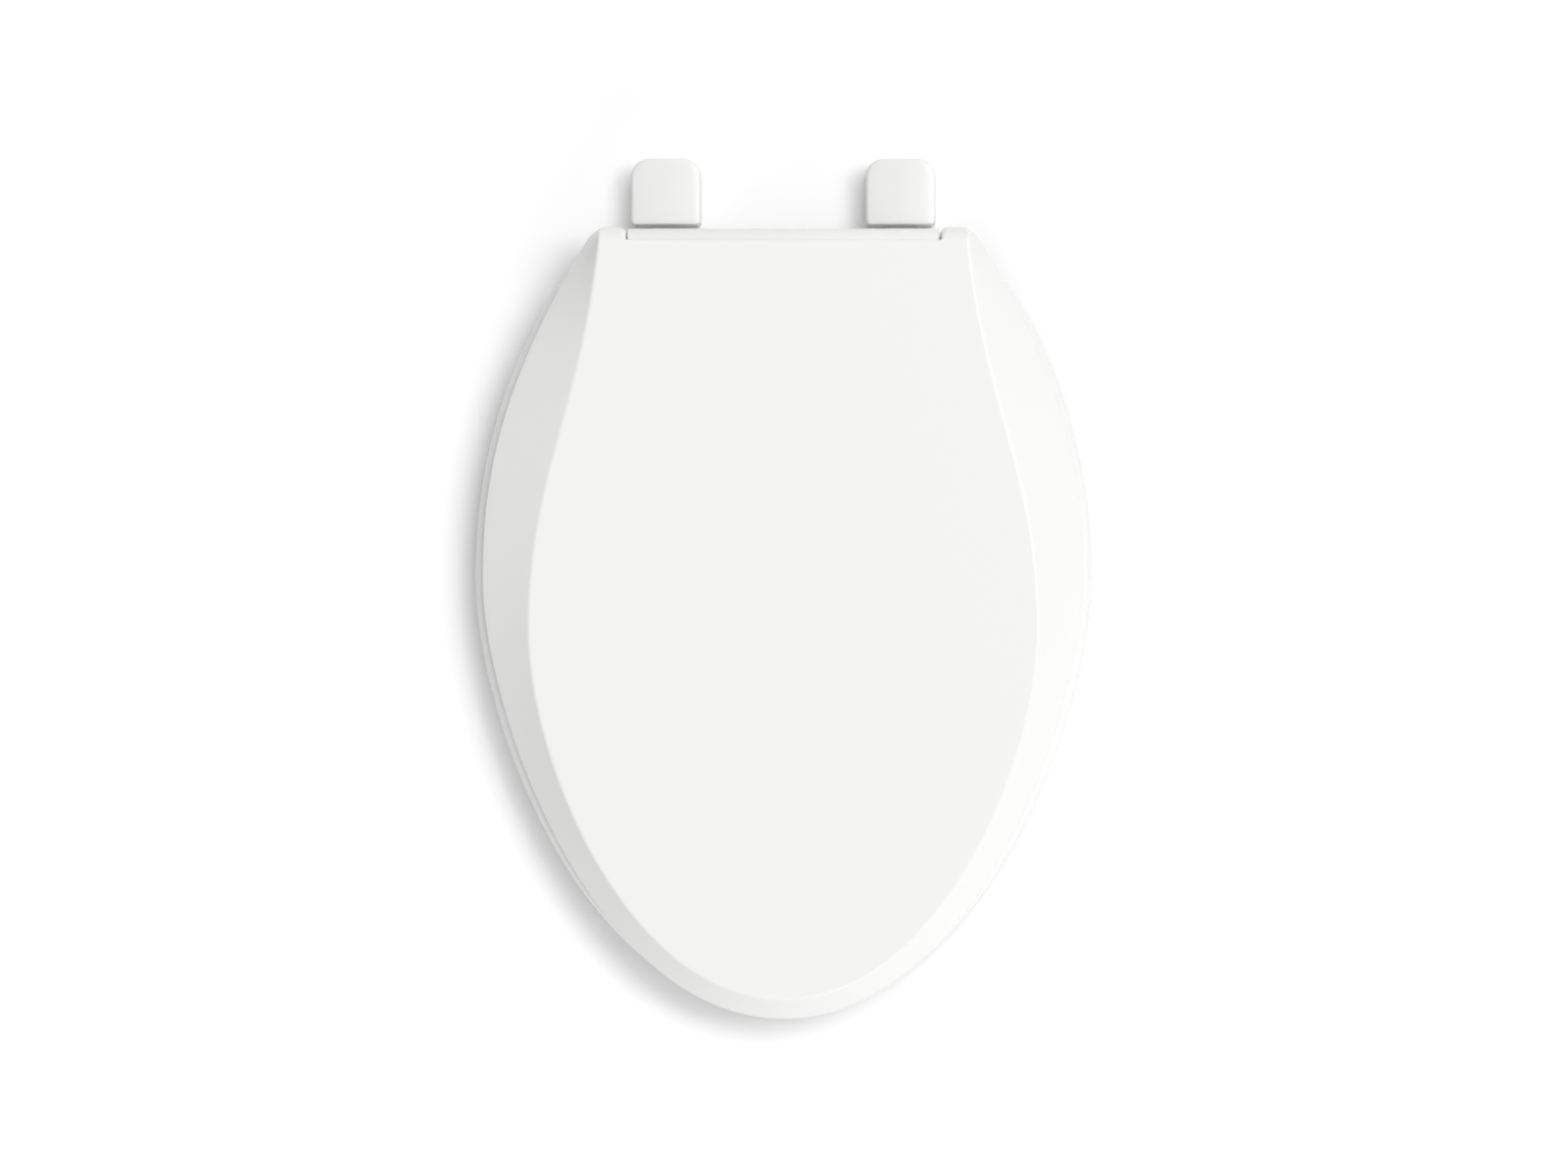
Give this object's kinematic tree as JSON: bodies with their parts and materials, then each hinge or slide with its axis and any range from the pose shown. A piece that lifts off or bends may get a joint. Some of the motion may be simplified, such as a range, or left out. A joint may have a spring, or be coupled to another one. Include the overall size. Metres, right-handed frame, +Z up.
{
  "type": "toilet seat",
  "caption": "Elongated toilet seat: a bevelled lid over an open seat ring, both turning on capped hinge posts that bolt to the bowl.",
  "frame": {"origin": "midway between the two bolt holes, on the deck of the bowl under the hinge pads", "axes": "+X along the bolt line and the hinge line, +Y to the rear, +Z up from the bowl"},
  "size_m": [0.3664, 0.511, 0.0525],
  "materials": {
    "seat_plastic": "white moulded plastic, smooth soft gloss",
    "post_plastic": "white moulded plastic, satin",
    "pin_steel": "drawn stainless rod",
    "pad_rubber": "grey sheet rubber",
    "bumper_rubber": "pale moulded rubber"
  },
  "bodies": {
    "hinge": {"hinge_post_left": "post_plastic", "hinge_post_right": "post_plastic", "hinge_cap_left": "seat_plastic", "hinge_cap_right": "seat_plastic", "hinge_pin_left": "pin_steel", "hinge_pin_right": "pin_steel", "post_pad_left": "pad_rubber", "post_pad_right": "pad_rubber"},
    "seat": {"seat_ring": "seat_plastic", "seat_bumper_front_left": "bumper_rubber", "seat_bumper_front_right": "bumper_rubber", "seat_bumper_rear_left": "bumper_rubber", "seat_bumper_rear_right": "bumper_rubber"},
    "lid": {"lid": "seat_plastic", "lid_bumper_left": "bumper_rubber", "lid_bumper_right": "bumper_rubber"}
  },
  "joints": [
    {"name": "seat_hinge", "type": "hinge", "parent": "hinge", "child": "seat", "pos_m": [0, -0.027, 0.04], "axis": [-1, 0, 0], "range_deg": [0, 91]},
    {"name": "lid_hinge", "type": "hinge", "parent": "seat", "child": "lid", "pos_m": [0, -0.027, 0.04], "axis": [-1, 0, 0], "range_deg": [0, 92]}
  ]
}
